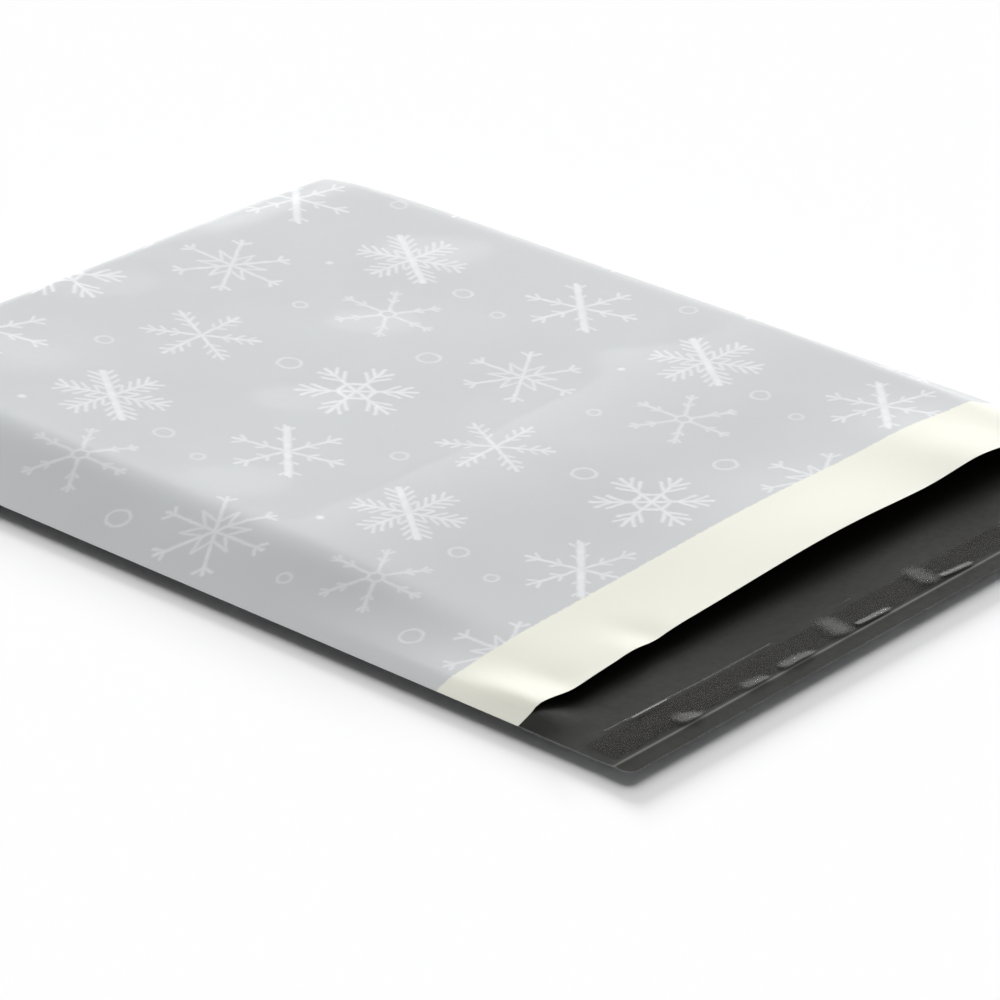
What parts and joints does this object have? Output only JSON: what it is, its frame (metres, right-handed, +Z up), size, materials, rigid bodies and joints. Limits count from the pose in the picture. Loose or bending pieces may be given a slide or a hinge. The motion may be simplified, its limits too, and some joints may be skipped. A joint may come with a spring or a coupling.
{
  "type": "poly mailer bag",
  "caption": "Flat plastic mailing bag with welded sides, a folded closed end, an open mouth and a long flap with an adhesive strip under a peel-off liner.",
  "frame": {"origin": "under the middle of the whole bag, flap included, on the surface it lies on", "axes": "+Z up out of the front panel, +Y along the bag from the flap to the closed end, +X across it, so that the welds run along -X and +X"},
  "size_m": [0.254, 0.33, 0.0123],
  "materials": {
    "printed_film": "satin co-extruded film, light grey print with pale snowflakes and rings outside, unprinted off-white band at the mouth, dark grey inside",
    "hot_melt": "clear, tacky",
    "liner_film": "clear, glossy, lightly wrinkled"
  },
  "bodies": {
    "root": {"bag_film": "printed_film", "adhesive_strip": "hot_melt", "release_liner": "liner_film"}
  },
  "joints": []
}
